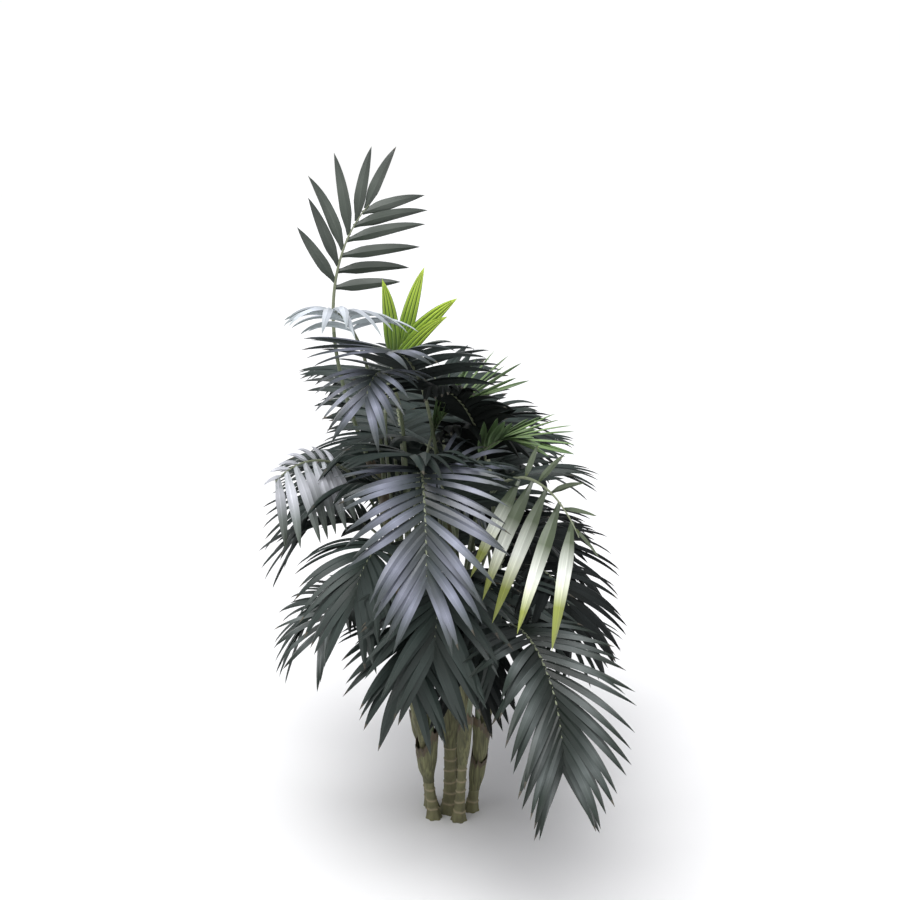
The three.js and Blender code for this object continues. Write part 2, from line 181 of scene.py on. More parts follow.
# The fronds of each cane: how far up the cane a frond leaves, the way it faces, and either its age, from 0
# to 1, or its own pose: the lift of its rib at the cane and at the tip, its lengths, how late it bends, the
# roll of its blade about the rib, and its leaflets' spread, droop and length against the usual ones, in all
# and on the left and right hand, with the turn of their faces about their midlines
FRONDS = dict(
    left=[
        dict(share=0.76, turn=4, lift=(84, -92), stalk=0.59, blade=0.43, bend=1.9, spread=1.2, droop=0.4,
             leaf=0.9, look="slate_sheen"),
        dict(share=0.60, turn=44, lift=(97, -40), stalk=0.54, blade=0.20, bend=3.2, roll=50, droop=0.8,
             leaf=0.7, look="slate_sheen"),
        dict(share=0.98, turn=73, lift=(97, 56), stalk=0.53, blade=0.09, bend=4.0, spread=0.36, roll=90,
             leaf=0.9, look="lime"),
        dict(share=0.93, turn=-15, lift=(90, -56), stalk=0.60, blade=0.22, bend=3.2, droop=0.7, leaf=0.7,
             look="slate_sheen"),
        dict(share=0.53, turn=-20, lift=(84, -64), stalk=0.44, blade=0.35, bend=2.2, droop=0.9, leaf=0.9),
        dict(share=0.30, turn=-6, lift=(84, -72), stalk=0.43, blade=0.34, bend=2.2, leaf=0.92),
        dict(share=0.85, turn=-172, age=0.8),
        dict(share=0.32, turn=-86, lift=(88, -70), stalk=0.40, blade=0.25, bend=2.4, leaf=0.85),
        dict(share=0.47, turn=-43, lift=(79, -60), stalk=0.35, blade=0.22, bend=2.4, leaf=0.7,
             look="ash_sheen"),
        dict(share=0.70, turn=-98, lift=(86, -58), stalk=0.34, blade=0.21, bend=2.3, leaf=0.82),
    ],
    front=[
        dict(share=0.5, turn=19, lift=(76, -90), stalk=0.50, blade=0.48, bend=1.6, droop=0.5, leaf=0.95,
             look="ash_sheen"),
        dict(share=0.7, turn=-8, lift=(82, -78), stalk=0.39, blade=0.38, bend=1.9),
        dict(share=0.95, turn=-20, lift=(80, 10), stalk=0.38, blade=0.34, bend=2.1),
        dict(share=0.9, turn=24, lift=(98, -42), stalk=0.64, blade=0.33, bend=1.3, roll=64,
             slant=(1.46, 1.0), droop=0.33, leaf=1.3, hands=(1.0, 0.35), face=52, look="sunlit"),
        dict(share=0.8, turn=70, lift=(104, 20), stalk=0.62, blade=0.14, bend=4.8, spread=0.36,
             droop=0.1, leaf=0.9, look="green"),
    ],
    right=[
        dict(share=0.88, turn=-74, lift=(86, -30), stalk=0.40, blade=0.34, bend=2.2, leaf=0.85),
        dict(share=0.55, turn=29, lift=(88, -62), stalk=0.48, blade=0.26, bend=1.8, droop=0.9, leaf=0.82,
             look="shade"),
        dict(share=0.9, turn=189, age=0.85),
        dict(share=0.4, turn=156, age=0.9, look="shade"),
        dict(share=0.62, turn=205, age=0.75),
        dict(share=0.26, turn=130, lift=(81, -86), stalk=0.36, blade=0.26, bend=2.4, leaf=0.9),
        dict(share=0.97, turn=-30, age=0.45, leaf=0.72, look="shade"),
        dict(share=0.36, turn=-4, lift=(84, -70), stalk=0.42, blade=0.32, bend=2.2, leaf=0.92,
             look="shade"),
    ],
    main=[
        dict(share=0.8, turn=32, lift=(88, -4), stalk=0.40, blade=0.20, bend=1.8, spread=0.34, droop=0.1,
             leaf=0.85, look="green"),
        dict(share=0.92, turn=-20, lift=(75, -2), stalk=0.49, blade=0.26, bend=2.8, spread=1.2,
             droop=0.4, look="slate_sheen"),
        dict(share=0.74, turn=188, age=0.6),
        dict(share=0.56, turn=-64, lift=(88, -48), stalk=0.40, blade=0.34, bend=2.4, leaf=0.9),
        dict(share=0.48, turn=66, lift=(88, -52), stalk=0.36, blade=0.25, bend=2.6, look="shade"),
        dict(share=0.36, turn=17, lift=(84, -70), stalk=0.40, blade=0.36, bend=2.3),
    ],
    rear_left=[
        dict(share=0.61, turn=-41, lift=(78, -35), stalk=0.50, blade=0.22, bend=2.2, roll=-57,
             slant=(1.0, 1.7), droop=0.8, leaf=0.83, hands=(0.3, 1.0), face=40, look="pewter_sheen"),
        dict(share=0.98, turn=122, lift=(112, 43), stalk=0.52, blade=0.25, bend=2.2, roll=75,
             slant=(1.15, 0.75), droop=0.3, leaf=0.85, look="open"),
        dict(share=0.88, turn=-18, lift=(80, 8), stalk=0.57, blade=0.18, bend=2.1, droop=1.0,
             hands=(0.6, 1.0), look="silver_sheen"),
        dict(share=0.66, turn=198, age=0.65),
        dict(share=0.45, turn=215, age=0.85),
        dict(share=0.30, turn=150, age=0.75),
        dict(share=0.72, turn=60, lift=(86, -10), stalk=0.35, blade=0.21, look="shade"),
    ],
    rear_right=[
        dict(share=0.97, turn=200, age=0.3),
        dict(share=0.82, turn=160, lift=(78, -44), age=0.75),
        dict(share=0.66, turn=195, age=0.85),
        dict(share=0.5, turn=152, age=0.9, look="shade"),
        dict(share=0.8, turn=236, lift=(84, -20), stalk=0.40, blade=0.33),
        dict(share=0.9, turn=136, lift=(86, -30), stalk=0.33, blade=0.26),
    ],
)

# Look of a frond: pleats across a leaflet, the share of its width at the root, its width against the usual
# one, the spacing of its pairs, its roughness, its coat, its index of refraction where that isn't the usual
# one, the share of its leaflets with a dry tip, and its colours at places along a leaflet, from root to tip
# in steps of a twelfth, as the leaflets have twelve rows. These colours paint light and shade on the leaf's
# own colour: a lighter middle is a painted sheen, and a darker root, or a whole darker look, is painted
# shade
LEAF_IOR = 1.45
LOOKS = dict(
    # deep_shade: a dark green darkened further as painted shade for fronds inside the crown, with a slightly
    # lighter middle as a painted sheen
    deep_shade=dict(
        pleats=1, root=0.72, width=1.08, spacing=0.0215, roughness=0.44, coat=0.12, ior=1.38, dry=0.3,
        tints=((0, (0.010, 0.017, 0.013)), (5, (0.028, 0.040, 0.036)), (12, (0.015, 0.023, 0.019))),
    ),
    # shade: nearly black, all painted shade for fronds deep in the crown's shadow
    shade=dict(
        pleats=1, root=0.72, width=1.1, spacing=0.0215, roughness=0.50, coat=0.0, ior=1.22, dry=0.3,
        tints=((0, (0.006, 0.008, 0.007)), (5, (0.011, 0.014, 0.014)), (12, (0.008, 0.010, 0.009))),
    ),
    # open: dark olive green with a lighter middle as a painted sheen
    open=dict(
        pleats=1, root=0.34, width=1.3, spacing=0.040, roughness=0.40, coat=0.25, dry=0.1,
        tints=((0, (0.026, 0.036, 0.026)), (6, (0.060, 0.072, 0.060)), (12, (0.026, 0.034, 0.028))),
    ),
    # slate_sheen: the leaf's dark slate green, darkest at the root as painted shade, with a painted lavender
    # sheen along the middle
    slate_sheen=dict(
        pleats=1, root=0.80, width=0.90, spacing=0.024, roughness=0.34, coat=0.4, dry=0.15,
        tints=((0, (0.020, 0.028, 0.026)), (3, (0.068, 0.078, 0.092)), (6, (0.205, 0.218, 0.278)),
               (9, (0.070, 0.083, 0.092)), (12, (0.020, 0.028, 0.025))),
    ),
    # ash_sheen: dark grey-green, with a painted grey sheen along the middle
    ash_sheen=dict(
        pleats=1, root=0.84, width=0.92, spacing=0.024, roughness=0.34, coat=0.2, ior=1.28, dry=0.2,
        tints=((0, (0.008, 0.012, 0.009)), (3, (0.023, 0.030, 0.027)), (6, (0.088, 0.102, 0.099)),
               (9, (0.026, 0.036, 0.030)), (12, (0.011, 0.016, 0.012))),
    ),
    # pewter_sheen: a painted pale silver reflection of the sky from the root to the middle, fading into the
    # leaf's own dark green at the tip
    pewter_sheen=dict(
        pleats=1, root=0.50, width=1.1, spacing=0.030, roughness=0.38, coat=0.3, dry=0.0,
        tints=((0, (0.36, 0.38, 0.40)), (4, (0.48, 0.49, 0.53)), (8, (0.14, 0.16, 0.15)),
               (12, (0.035, 0.050, 0.032))),
    ),
    # silver_sheen: a painted silvery sheen of the sky along the whole leaflet, brightest in the middle
    silver_sheen=dict(
        pleats=1, root=0.40, width=0.9, spacing=0.022, roughness=0.36, coat=0.4, dry=0.0,
        tints=((0, (0.34, 0.38, 0.40)), (6, (0.60, 0.64, 0.70)), (12, (0.26, 0.30, 0.30))),
    ),
    # sunlit: dark grey-green towards the root, a painted silver-white highlight across the middle, and the
    # leaf's own yellow-green at the tip
    sunlit=dict(
        pleats=1, root=0.36, width=1.1, spacing=0.062, roughness=0.34, coat=0.4, dry=0.0,
        tints=((0, (0.042, 0.058, 0.031)), (3, (0.085, 0.110, 0.062)), (6, (0.76, 0.79, 0.72)),
               (7, (0.72, 0.75, 0.60)), (9, (0.250, 0.285, 0.055)), (12, (0.220, 0.250, 0.045))),
    ),
    # green: its own green, with a lighter middle as a painted sheen
    green=dict(
        pleats=2, root=0.50, width=1.1, spacing=0.024, roughness=0.40, coat=0.25, dry=0.0,
        tints=((0, (0.105, 0.165, 0.068)), (6, (0.235, 0.340, 0.145)), (12, (0.112, 0.182, 0.078))),
    ),
    # lime: its own lime green at the tip, darker towards the root as painted shade inside the crown
    lime=dict(
        pleats=4, root=0.55, width=1.7, spacing=0.036, roughness=0.42, coat=0.15, dry=0.0,
        tints=((0, (0.030, 0.055, 0.010)), (4, (0.15, 0.25, 0.020)), (9, (0.34, 0.47, 0.050)),
               (12, (0.42, 0.54, 0.075))),
    ),
)


def mix(a, b, t):
    """The value a share t of the way from a to b."""
    return a + (b - a) * t


def smooth_step(t):
    """Rises from 0 to 1 over t from 0 to 1, level at both ends."""
    t = np.clip(t, 0, 1)
    return t * t * (3 - 2 * t)


def unit(v):
    """Vectors of length one along the last axis."""
    return v / np.linalg.norm(v, axis=-1, keepdims=True)


def heading(turn):
    """Level directions for turns in degrees: the sine along X and minus the cosine along Y."""
    angle = np.radians(turn)
    return np.stack([np.sin(angle), -np.cos(angle), np.zeros_like(angle)], -1)


def round_angles(sides):
    """Evenly spaced angles round a ring, from 0."""
    return np.arange(sides) * 2 * np.pi / sides


def cane_axis(cane, z):
    """Points on a cane's axis at heights z: out along its turn by its place and the tangent of its lean."""
    out = cane["out"] + z * math.tan(math.radians(cane["lean"]))
    return out[..., None] * heading(cane["turn"]) + z[..., None] * SKY


def cane_way(cane):
    """The direction of a cane's axis."""
    foot, above = cane_axis(cane, np.array([0.0, 1.0]))
    return unit(above - foot)


def cane_radius(cane, z):
    """A straight taper from body to top, with a flare that fades exponentially above the foot."""
    radii = cane["radii"]
    taper = mix(radii["body"], radii["top"], z / cane["height"])
    return taper + (radii["foot"] - radii["body"]) * np.exp(-z / FLARE_FADE)


def pose(row):
    """A frond's pose: what its age gives, unless the table says otherwise."""
    age = row.get("age", USUAL_AGE)
    stalk_age = min(1, age / STALK_GROWN)
    blade_age = min(1, age / BLADE_GROWN)
    grown = dict(
        lift=[mix(a, b, age) for a, b in zip(NEW_FROND["lift"], OLD_FROND["lift"])],
        stalk=mix(NEW_FROND["stalk"], OLD_FROND["stalk"], stalk_age),
        blade=mix(NEW_FROND["blade"], OLD_FROND["blade"], blade_age),
        bend=USUAL_BEND,
        roll=0.0,
        spread=1.0,
        droop=mix(NEW_FROND["droop"], OLD_FROND["droop"], age),
        leaf=1.0,
        hands=(1.0, 1.0),
        slant=(1.0, 1.0),
        face=0.0,
        look="deep_shade",
    )
    return {**grown, **row}


def rib_frame(frond, share):
    """Directions along, across and above a rib at shares of its length.

    The lift goes from its value at the cane to that at the tip with a power of the share, and the roll
    about the rib comes in along the stalk.
    """
    share = np.asarray(share, float)
    lift = np.radians(mix(frond["lift"][0], frond["lift"][1], share ** frond["bend"]))[..., None]
    along = np.cos(lift) * heading(frond["turn"]) + np.sin(lift) * SKY
    level = np.broadcast_to(heading(frond["turn"] + 90), along.shape)
    above = np.cross(along, level)
    rolled = np.clip(share * frond["length"] / frond["stalk"], 0, 1)[..., None]
    roll = np.radians(frond["roll"]) * rolled
    across = level * np.cos(roll) + above * np.sin(roll)
    return along, across, above * np.cos(roll) - level * np.sin(roll)


def rib_path(frond):
    """Follows the rib's direction in short steps from its foot, which stands beside the cane."""
    cane = CANES[frond["cane"]]
    z = np.array(frond["share"] * cane["height"])
    up_cane = cane_way(cane)
    first = rib_frame(frond, 0.0)[0]
    away = first - (first @ up_cane) * up_cane
    away = unit(away * [1, 1, 0])
    foot = cane_axis(cane, z) + away * (cane_radius(cane, z) + RIB_RADIUS["cane"] + SEAT_GAP)
    steps = rib_frame(frond, (np.arange(PATH_STEPS) + 0.5) / PATH_STEPS)[0]
    path = np.vstack([foot, foot + np.cumsum(steps, 0) * frond["length"] / PATH_STEPS])
    return path, away


def points_on(path, share):
    """Points at shares of an evenly stepped path, straight from each step to the next."""
    places = np.linspace(0, 1, len(path))
    return np.stack([np.interp(share, places, path[:, k]) for k in range(3)], -1)


def grown_fronds():
    """All fronds with their poses, names and rib paths."""
    fronds = []
    for cane, rows in FRONDS.items():
        for number, row in enumerate(rows, 1):
            frond = pose(row)
            frond["cane"] = cane
            frond["label"] = f"{cane}_{number}"
            frond["length"] = frond["stalk"] + frond["blade"]
            frond["split"] = frond["lift"][0] - frond["lift"][1] > SPLIT_BEND
            frond["path"], frond["away"] = rib_path(frond)
            fronds.append(frond)
    return fronds


def capped_tubes(rings, starts, ends):
    """Vertices, quads and triangles of closed tubes.

    rings is (tubes, rows, sides, 3), turning right-handed about the way from the first row to the last, and
    starts and ends are the points that close each tube.
    """
    tubes, rows, sides = rings.shape[:3]
    size = rows * sides + 2
    points = np.concatenate([rings.reshape(tubes, -1, 3), starts[:, None], ends[:, None]], 1)
    base = np.arange(tubes) * size
    side = np.arange(sides)
    turned = (side + 1) % sides
    row = np.arange(rows - 1)[:, None] * sides
    quads = np.stack([row + side, row + turned, row + sides + turned, row + sides + side], -1)
    first = np.stack([np.full(sides, rows * sides), turned, side], -1)
    last_row = (rows - 1) * sides
    last = np.stack([last_row + side, last_row + turned, np.full(sides, rows * sides + 1)], -1)
    quads = base[:, None, None, None] + quads
    triangles = base[:, None, None] + np.stack([first, last]).reshape(-1, 3)
    return points.reshape(-1, 3), quads.reshape(-1, 4), triangles.reshape(-1, 3)


def closed_sleeves(rings):
    """Vertices and quads of sleeves, whose rows run up the outside and back down the inside."""
    sleeves, rows, sides = rings.shape[:3]
    base = np.arange(sleeves)[:, None, None] * rows * sides
    row = np.arange(rows)[:, None] * sides
    above = (np.arange(rows)[:, None] + 1) % rows * sides
    side = np.arange(sides)
    turned = (side + 1) % sides
    quads = np.stack([row + side, row + turned, above + turned, above + side], -1)
    return rings.reshape(-1, 3), (base[..., None] + quads).reshape(-1, 4)


def with_ends(values, first, last):
    """Rows of values at the rings of closed tubes, with those at each tube's two closing points added."""
    ends = np.broadcast_to([first, last], (len(values), 2))
    return np.concatenate([values.reshape(len(values), -1), ends], 1)


def add_piece(name, points, quads, triangles, materials, slots, sharp_angle, **attributes):
    """A smooth-shaded mesh object of quads and triangles.

    Every face has a material slot, every attribute a number for each vertex, and edges that turn by more
    than the sharp angle are creases.
    """
    mesh = bpy.data.meshes.new(name)
    mesh.vertices.add(len(points))
    mesh.vertices.foreach_set("co", points.astype(np.float32).ravel())
    corners = np.concatenate([quads.ravel(), triangles.ravel()])
    mesh.loops.add(len(corners))
    mesh.loops.foreach_set("vertex_index", corners.astype(np.int32))
    sizes = np.concatenate([np.full(len(quads), 4), np.full(len(triangles), 3)])
    mesh.polygons.add(len(sizes))
    mesh.polygons.foreach_set("loop_start", (np.cumsum(sizes) - sizes).astype(np.int32))
    for material in materials:
        mesh.materials.append(material)
    mesh.polygons.foreach_set("material_index", slots.astype(np.int32))
    mesh.update(calc_edges=True)
    mesh.shade_smooth()
    mesh.set_sharp_from_angle(angle=math.radians(sharp_angle))
    for key, values in attributes.items():
        layer = mesh.attributes.new(key, "FLOAT", "POINT")
        layer.data.foreach_set("value", values.astype(np.float32).ravel())
    piece = bpy.data.objects.new(name, mesh)
    bpy.context.scene.collection.objects.link(piece)
    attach(piece, "root")
    return piece


class Value:
    """An output of a node; arithmetic on it adds Math nodes."""

    def __init__(self, nodes, socket):
        self.nodes = nodes
        self.socket = socket

    def math(self, operation, other=0.0):
        """A Math node on this value, and on another where it takes two."""
        return self.nodes.node("ShaderNodeMath", dict(operation=operation), {0: self, 1: other})

    def reflected(self, operation, other):
        """A Math node on another value and this one."""
        return self.nodes.node("ShaderNodeMath", dict(operation=operation), {0: other, 1: self})

    __add__ = partialmethod(math, "ADD")
    __radd__ = partialmethod(reflected, "ADD")
    __sub__ = partialmethod(math, "SUBTRACT")
    __rsub__ = partialmethod(reflected, "SUBTRACT")
    __mul__ = partialmethod(math, "MULTIPLY")
    __rmul__ = partialmethod(reflected, "MULTIPLY")
    __pow__ = partialmethod(math, "POWER")
    __abs__ = partialmethod(math, "ABSOLUTE")
    sine = partialmethod(math, "SINE")


class Nodes:
    """Adds nodes to one node tree."""

    def __init__(self, tree):
        self.tree = tree

    def node(self, kind, settings=None, inputs=None, output=0):
        """Adds a node: its settings first, a ramp's stops among them, then its sockets' values or links."""
        made = self.tree.nodes.new(kind)
        for key, setting in (settings or {}).items():
            if key == "stops":
                self.set_stops(made.color_ramp, setting)
            else:
                setattr(made, key, setting)
        self.feed(made, inputs or {})
        return Value(self, made.outputs[output])

    def set_stops(self, ramp, stops):
        """Sets the places and colours of a ramp's two stops, with a smooth change between them."""
        ramp.interpolation = "EASE"
        for element, (place, tint) in zip(ramp.elements, stops):
            element.position = place
            element.color = tint

    def feed(self, node, inputs):
        """Sets or links sockets of a node, by name or by number."""
        for key, value in inputs.items():
            if isinstance(value, Value):
                self.tree.links.new(value.socket, node.inputs[key])
            else:
                node.inputs[key].default_value = value


class Finish(Nodes):
    """A procedural material round one Principled shader."""

    def __init__(self, name):
        self.material = bpy.data.materials.new(name)
        self.material.use_nodes = True
        super().__init__(self.material.node_tree)
        self.shader = next(n for n in self.tree.nodes if n.type == "BSDF_PRINCIPLED")

    def attribute(self, name):
        """A number that the mesh holds at each vertex."""
        return self.node("ShaderNodeAttribute", dict(attribute_name=name), output="Fac")

    def vector(self, x, y, z):
        """A vector of three numbers."""
        return self.node("ShaderNodeCombineXYZ", None, {0: x, 1: y, 2: z})

    def noise(self, vector, scale=1.0, detail=2.0):
        """Cloudy noise from 0 to 1."""
        return self.node("ShaderNodeTexNoise", None, {"Vector": vector, "Scale": scale, "Detail": detail})

    def grain(self, scale=1.0, detail=2.0, squeeze=(1, 1, 1)):
        """Cloudy noise in the piece's own coordinates, squeezed by axis."""
        place = self.node("ShaderNodeTexCoord", output="Object")
        squeezed = self.node("ShaderNodeMapping", None, {"Vector": place, "Scale": squeeze})
        return self.noise(squeezed, scale, detail)

    def scaled(self, tint, factor):
        """A colour made lighter or darker by a factor."""
        return self.node("ShaderNodeVectorMath", dict(operation="SCALE"), {0: tint, "Scale": factor})

    def blend(self, amount, first, second):
        """A colour between two, by an amount from 0 to 1."""
        settings = dict(data_type="RGBA", clamp_factor=True)
        return self.node("ShaderNodeMix", settings, {0: amount, 6: first, 7: second}, output=2)

    def bump(self, height, strength, depth):
        """A normal tilted by a height, of a depth in metres."""
        inputs = {"Height": height, "Strength": strength, "Distance": depth}
        return self.node("ShaderNodeBump", None, inputs)

    def surface(self, **sockets):
        """Feeds the shader's sockets, named with underscores for spaces."""
        self.feed(self.shader, {key.replace("_", " "): value for key, value in sockets.items()})
        return self.material


def colour(red, green, blue):
    """An opaque colour."""
    return (red, green, blue, 1.0)


def shaded(tint, factor):
    """A colour made lighter or darker by a factor."""
    return colour(*(min(1.0, channel * factor) for channel in tint[:3]))


# Plain colours of the plant, with a dark green painted as shade in the pleats' creases
PLEAT_CREASE_SHADE = dict(green=colour(0.020, 0.045, 0.012), lime=colour(0.032, 0.075, 0.008))
DRY = colour(0.070, 0.062, 0.046)
RIB = colour(0.17, 0.19, 0.12)
STALK = colour(0.085, 0.105, 0.055)
SHEATH = colour(0.115, 0.115, 0.055)
SHEATH_DRY = colour(0.17, 0.12, 0.065)
CANE = colour(0.13, 0.125, 0.060)
CANE_SCAR = colour(0.30, 0.25, 0.16)

# Leaves: patterns, the shares of each in tone and bump, and how the gloss and the hidden sides differ
WHOLE_LEAF = (0.0, 1.0)
VEINS = 15
STREAKS = dict(across=5.0, along=2.2, seed=40.0, detail=3.0)
KEEL_SHARPNESS = 24.0
LEAF_GRAIN = 420.0
LEAF_LIGHT = dict(least=0.72, seed=0.5)
LEAF_TONE = dict(least=0.70, streaks=0.6, veins=0.12, keel=0.45)
LEAF_RELIEF = dict(streaks=0.8, grain=0.3)
LEAF_BUMP = dict(strength=0.25, depth=0.0006)
STREAK_ROUGHNESS = 0.16
LEAF_COAT_ROUGHNESS = 0.25
DULL_ROUGHNESS = 0.6
UNDER_LIGHT = 1.2
DRY_END = 0.6

# Stalks and ribs
STALK_STREAKS = dict(round=9.0, along=6.0, detail=3.0)
SPECKLE = dict(scale=260.0, detail=3.0)
SPECKLE_SHARPNESS = 4.0
SPECKLE_SHARE = 2.0
SPECKLE_RELIEF = 0.4
STALK_TONE = dict(dark=0.7, light=1.25, speckle=1.7)
STALK_GLOSS = dict(roughness=0.42, streaks=0.15, coat=0.15, coat_roughness=0.35)
STALK_BUMP = dict(strength=0.3, depth=0.0008)

# Sheaths: long upright fibres and darker patches, each with its contrast and where it sets in
FIBRES = dict(squeeze=(190.0, 190.0, 5.0), detail=4.0)
FIBRE_CONTRAST = 3.0
FIBRE_START = 1.0
PATCHES = dict(squeeze=(1, 1, 0.4), scale=30.0, detail=4.0)
PATCH_CONTRAST = 3.0
PATCH_START = 1.4
SHEATH_TONE = dict(dark=0.5, patch=0.35, fibre=1.5)
SHEATH_GLOSS = dict(roughness=0.62, fibres=0.2)
SHEATH_BUMP = dict(strength=0.55, depth=0.0015)

# Canes: mottling, upright fibres and corky scars
MOTTLE = dict(squeeze=(1, 1, 0.6), scale=48.0, detail=4.0)
MOTTLE_CONTRAST = 1.8
MOTTLE_START = 0.4
MOTTLE_RELIEF = 0.6
CANE_FIBRES = dict(squeeze=(260.0, 260.0, 14.0), detail=3.0)
CANE_TONE = dict(dark=0.55, light=1.35)
SCAR_TONE = dict(least=0.45, fibres=0.6)
CANE_GLOSS = dict(roughness=0.55, mottle=0.25)
CANE_BUMP = dict(strength=0.4, depth=0.0012)


def tint_stops(style):
    """A look's colours, each with its place along a leaflet from 0 to 1."""
    return [(row / LEAF_STEPS, tint) for row, tint in style["tints"]]


def leaf_finish(name, first, second, span, roughness, coat, ior=LEAF_IOR):
    """A waxy leaf whose colour runs from one to the next over a span of its length.

    Lengthwise streaks, fine veins and a paler line along the keel vary the colour and the bump, and each
    leaflet is a little lighter or darker than the next.
    """
    finish = Finish(name)
    across = finish.attribute("leaf_across")
    along = finish.attribute("leaf_along")
    seed = finish.attribute("leaf_seed")
    spot = finish.vector(across * STREAKS["across"], along * STREAKS["along"], seed * STREAKS["seed"])
    streaks = finish.noise(spot, detail=STREAKS["detail"])
    veins = (across * (math.pi * VEINS)).sine() * 0.5 + 0.5
    keel = (1.0 - abs(across)) ** KEEL_SHARPNESS
    grain = finish.grain(LEAF_GRAIN)
    way = (along - span[0]) * (1 / (span[1] - span[0]))
    tint = finish.blend(way, colour(*first[:3]), colour(*second[:3]))
    own_light = LEAF_LIGHT["least"] + LEAF_LIGHT["seed"] * seed
    pattern = (LEAF_TONE["least"] + LEAF_TONE["streaks"] * streaks + LEAF_TONE["veins"] * veins
               + LEAF_TONE["keel"] * keel)
    relief = veins + LEAF_RELIEF["streaks"] * streaks + LEAF_RELIEF["grain"] * grain
    return finish.surface(
        Base_Color=finish.scaled(tint, own_light * pattern),
        Roughness=roughness + STREAK_ROUGHNESS * streaks,
        Normal=finish.bump(relief, **LEAF_BUMP),
        Coat_Weight=coat,
        Coat_Roughness=LEAF_COAT_ROUGHNESS,
        IOR=ior,
    )


def rib_finish(name, tint):
    """A smooth stalk with fine lengthwise streaks and faint speckles."""
    finish = Finish(name)
    along = finish.attribute("rib_along")
    round_rib = finish.attribute("rib_round")
    spot = finish.vector(round_rib * STALK_STREAKS["round"], along * STALK_STREAKS["along"], 0.0)
    streaks = finish.noise(spot, detail=STALK_STREAKS["detail"])
    speckle = finish.grain(**SPECKLE)
    spots = (speckle ** SPECKLE_SHARPNESS) * SPECKLE_SHARE
    tone = finish.blend(streaks, shaded(tint, STALK_TONE["dark"]), shaded(tint, STALK_TONE["light"]))
    relief = streaks + SPECKLE_RELIEF * speckle
    return finish.surface(
        Base_Color=finish.blend(spots, tone, shaded(tint, STALK_TONE["speckle"])),
        Roughness=STALK_GLOSS["roughness"] + STALK_GLOSS["streaks"] * streaks,
        Normal=finish.bump(relief, **STALK_BUMP),
        Coat_Weight=STALK_GLOSS["coat"],
        Coat_Roughness=STALK_GLOSS["coat_roughness"],
    )


def fibre_finish(name, tint, fibre_tint):
    """A fibrous sheath: long upright fibres in colour and bump, and darker patches."""
    finish = Finish(name)
    fibres = finish.grain(**FIBRES)
    fibre_share = fibres * FIBRE_CONTRAST - FIBRE_START
    patch_share = finish.grain(**PATCHES) * PATCH_CONTRAST - PATCH_START
    tone = finish.blend(fibre_share, shaded(tint, SHEATH_TONE["dark"]), fibre_tint)
    return finish.surface(
        Base_Color=finish.blend(patch_share, tone, shaded(tint, SHEATH_TONE["patch"])),
        Roughness=SHEATH_GLOSS["roughness"] + SHEATH_GLOSS["fibres"] * fibres,
        Normal=finish.bump(fibres, **SHEATH_BUMP),
    )


def cane_finish(name):
    """A green-brown cane with pale corky scars and mottling."""
    finish = Finish(name)
    scar = finish.attribute("scar")
    mottle = finish.grain(**MOTTLE)
    fibres = finish.grain(**CANE_FIBRES)
    mottle_share = mottle * MOTTLE_CONTRAST - MOTTLE_START
    tone = finish.blend(mottle_share, shaded(CANE, CANE_TONE["dark"]), shaded(CANE, CANE_TONE["light"]))
    scar_share = scar * (SCAR_TONE["least"] + SCAR_TONE["fibres"] * fibres)
    relief = fibres + MOTTLE_RELIEF * mottle
    return finish.surface(
        Base_Color=finish.blend(scar_share, tone, CANE_SCAR),
        Roughness=CANE_GLOSS["roughness"] + CANE_GLOSS["mottle"] * mottle,
        Normal=finish.bump(relief, **CANE_BUMP),
    )


def leaf_finishes():
    """The materials of each look: a band between each two colours, undersides, pleat creases and dry tips.

    The bands carry painted shade and sheen, and the pleat creases are painted dark as shade.
    """
    dry_span = (DRY_TIP_FROM, 1.0)
    dry = leaf_finish("leaf_dry_tip", DRY, shaded(DRY, DRY_END), dry_span, DULL_ROUGHNESS, 0.0)
    looks = {}
    for look, style in LOOKS.items():
        stops = tint_stops(style)
        ior = style.get("ior", LEAF_IOR)
        bands = [leaf_finish(f"leaf_{look}_{k}", a, b, (t, u), style["roughness"], style["coat"], ior)
                 for k, ((t, a), (u, b)) in enumerate(zip(stops, stops[1:]))]
        root, tip = stops[0][1], stops[-1][1]
        under = leaf_finish(f"leaf_{look}_under", shaded(root, UNDER_LIGHT), shaded(tip, UNDER_LIGHT),
                            WHOLE_LEAF, DULL_ROUGHNESS, 0.0, ior)
        # Pleat creases get a dark colour as painted shade, or the root colour where a look has none
        line = PLEAT_CREASE_SHADE.get(look, root)
        pleat = leaf_finish(f"leaf_{look}_pleat", line, line, WHOLE_LEAF, style["roughness"], style["coat"])
        looks[look] = dict(bands=bands, under=under, pleat=pleat, dry=dry)
    return looks


